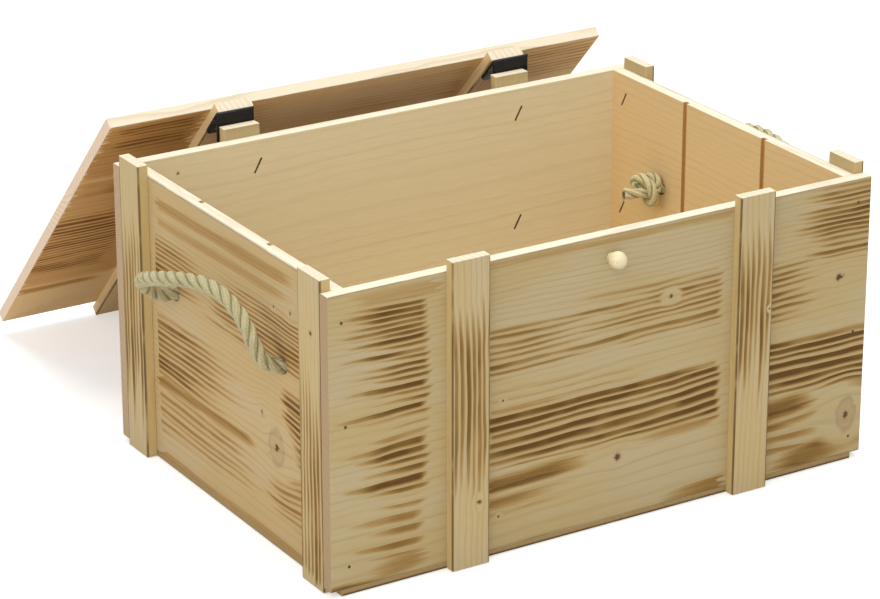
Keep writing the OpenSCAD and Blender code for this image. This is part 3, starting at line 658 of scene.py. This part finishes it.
def turned_wood():
    """The knob: bare turned beech, cream, darkened to olive brown below as painted shade, with dark fibres."""
    g = Graph("turned_knob_wood")
    where = g.node("ShaderNodeTexCoord", {}, {}, 3)
    place = g.node("ShaderNodeMapping", {"vector_type": "TEXTURE"}, {
        "Vector": where, "Location": (0, -0.149, 0.1845), "Scale": (0.001, 0.001, 0.001)})
    up = g.parts(place)[2]
    fibre = g.noise(place, (0.6, 8, 0.6), 3.0, 0.6, 4.0)
    broad = g.noise(place, (4, 12, 4), 2.0, 0.5, 9.0)
    colour = g.blend(g.ramp(fibre, 0.3, 0.7), shade(240, 228, 192), shade(222, 202, 158))
    colour = g.blend(g.ramp(broad, 0.4, 0.7, 0.0, 0.2), colour, shade(196, 174, 124))
    # Painted shade: the knob darkens to olive brown towards its underside
    colour = g.blend(g.ramp(up + broad * 3, 2.0, -4.5, 0.0, 0.65), colour, shade(150, 128, 78))
    colour = g.blend(g.ramp(fibre, 0.6, 0.75, 0.0, 0.4), colour, shade(130, 104, 60))
    return g.finish(colour, 0.5, fibre, 0.0002, 0.5)


def strap_material():
    """Black strap: fine pebbled grain with a soft sheen, rubbed grey along scratches. The relief swells by
    a parabola over the part that stands free above the battens, which rounds the fold."""
    g = Graph("black_strap")
    where = g.node("ShaderNodeTexCoord", {}, {}, 3)
    beyond_fold = 1.5
    up = (g.parts(where)[2] - (TIP_Z + FOLD_Z) / 2000) * (2000 / (FOLD_Z + beyond_fold - TIP_Z))
    round_fold = g.math("MAXIMUM", 1 - up * up, 0.0)
    pebble = g.noise(where, (0.0006, 0.0006, 0.0006), 3.0, 0.7, 8.0)
    rub = g.noise(where, (0.004, 0.012, 0.02), 4.0, 0.7, 3.0)
    colour = g.blend(g.ramp(rub, 0.6, 0.76, 0.0, 0.4), shade(13, 13, 14), shade(84, 86, 92))
    relief = round_fold * 2.0 + pebble * 0.25
    return g.finish(colour, g.ramp(rub, 0.3, 0.7, 0.3, 0.5), relief, 0.001, 1.0, Specular_IOR_Level=0.3)


def wire_material(name, light, dark):
    """Drawn steel wire: dull spots."""
    g = Graph(name)
    where = g.node("ShaderNodeTexCoord", {}, {}, 3)
    spots = g.noise(where, (0.0012, 0.0012, 0.0012), 3.0, 0.6, 2.0)
    colour = g.blend(g.ramp(spots, 0.35, 0.65), light, dark)
    return g.finish(colour, g.ramp(spots, 0.3, 0.7, 0.38, 0.6), spots, 0.0001, 0.4, Metallic=0.3)


def dress(name, material, soften=0.0):
    """Gives a CAD node its material and, where it is a board, softened arrises."""
    node = NODES[name]
    node.data.materials.clear()
    node.data.materials.append(material)
    if soften:
        weld = node.modifiers.new("weld", "WELD")
        weld.merge_threshold = 1e-6
        flat = node.modifiers.new("flat faces", "DECIMATE")
        flat.decimate_type, flat.angle_limit = "DISSOLVE", math.radians(0.5)
        bevel = node.modifiers.new("arrises", "BEVEL")
        bevel.width, bevel.segments = soften, 2
        bevel.limit_method, bevel.angle_limit = "ANGLE", math.radians(40)
        bevel.use_clamp_overlap = bevel.harden_normals = False


# ---------------------------------------------------------------- surroundings

# Soft round lamps: name, place and width in metres, power in watts
LAMPS = [("key", (-2.0, -2.0, 2.4), 1.8, 30.0), ("left", (-3.2, -0.6, 1.2), 1.6, 15.0),
         ("low", (-0.9, -3.2, 0.5), 1.6, 9.0), ("top", (0.2, 0.2, 3.0), 2.0, 60.0)]
FLOOR_HALF, FLOOR_Z = 20, -0.0004


def make_floor():
    """A plain white floor that keeps the shadow. It gives off a little light to the camera alone."""
    g = Graph("white_floor")
    seen = g.node("ShaderNodeLightPath", {}, {}, 0)
    lift = g.node("ShaderNodeEmission", {}, {"Color": (1, 1, 1, 1), "Strength": seen * 0.4})
    white = g.node("ShaderNodeBsdfDiffuse", {}, {"Color": (0.86, 0.86, 0.86, 1)})
    both = g.node("ShaderNodeAddShader", {}, {0: lift, 1: white})
    g.node("ShaderNodeOutputMaterial", {}, {"Surface": both})
    mesh = bpy.data.meshes.new("floor")
    corners = [(x * FLOOR_HALF, y * FLOOR_HALF, FLOOR_Z) for x, y in ((-1, -1), (1, -1), (1, 1), (-1, 1))]
    mesh.from_pydata(corners, [], [(0, 1, 2, 3)])
    mesh.materials.append(g.material)
    piece = bpy.data.objects.new("floor", mesh)
    bpy.context.scene.collection.objects.link(piece)


def make_world():
    """White where the camera sees it, in a reflection or straight, and dimmer where it lights the box."""
    world = bpy.data.worlds.new("white_room")
    bpy.context.scene.world = world
    world.use_nodes = True
    nodes, links = world.node_tree.nodes, world.node_tree.links
    nodes.clear()
    path = nodes.new("ShaderNodeLightPath")
    seen = path.outputs["Is Camera Ray"]
    for ray in ("Is Glossy Ray", "Is Transmission Ray"):
        either = nodes.new("ShaderNodeMath")
        either.operation = "MAXIMUM"
        links.new(seen, either.inputs[0])
        links.new(path.outputs[ray], either.inputs[1])
        seen = either.outputs[0]
    strength = nodes.new("ShaderNodeMapRange")
    links.new(seen, strength.inputs[0])
    strength.inputs[3].default_value, strength.inputs[4].default_value = 0.6, 1.0
    sky, end = nodes.new("ShaderNodeBackground"), nodes.new("ShaderNodeOutputWorld")
    links.new(strength.outputs[0], sky.inputs["Strength"])
    links.new(sky.outputs[0], end.inputs["Surface"])


def make_lamps():
    """The soft lamps, each turned to the middle of the box."""
    for name, place, size, power in LAMPS:
        lamp = bpy.data.lights.new(name, "AREA")
        lamp.shape, lamp.size, lamp.energy = "DISK", size, power
        holder = bpy.data.objects.new(name, lamp)
        holder.location = place
        holder.rotation_euler = (Vector((0, 0, 0.1)) - Vector(place)).to_track_quat("-Z", "Y").to_euler()
        bpy.context.scene.collection.objects.link(holder)


# ---------------------------------------------------------------- the box

make_camera()
make_rope(-1, LEFT_ROUTE, rope_material("laid_hemp", (1.0, 1.0, 1.0)))
# The right rope's hemp is drawn lighter: painted light in place of light falling from the right
make_rope(1, RIGHT_ROUTE, rope_material("hemp_painted_lighter", (1.35, 1.35, 1.4)))
woods = {**make_walls(), **make_battens(), **make_lid_wood()}
for name, material in woods.items():
    dress(name, material, 0.0004)
dress("knob", turned_wood())
strap = strap_material()
wire = wire_material("dull_wire", shade(104, 88, 58), shade(58, 46, 28))
bright = wire_material("bright_nail", shade(168, 166, 160), shade(120, 118, 112))
for name in NODES:
    if "strap" in name and "leaf" in name:
        dress(name, strap, 0.0003)
    elif "strap" in name or name == "knob_screw":
        dress(name, bright)
    elif "nails" in name or "staples" in name:
        dress(name, wire)
make_floor()
make_world()
make_lamps()
bpy.context.scene.view_settings.view_transform = "Standard"
bpy.context.view_layer.update()
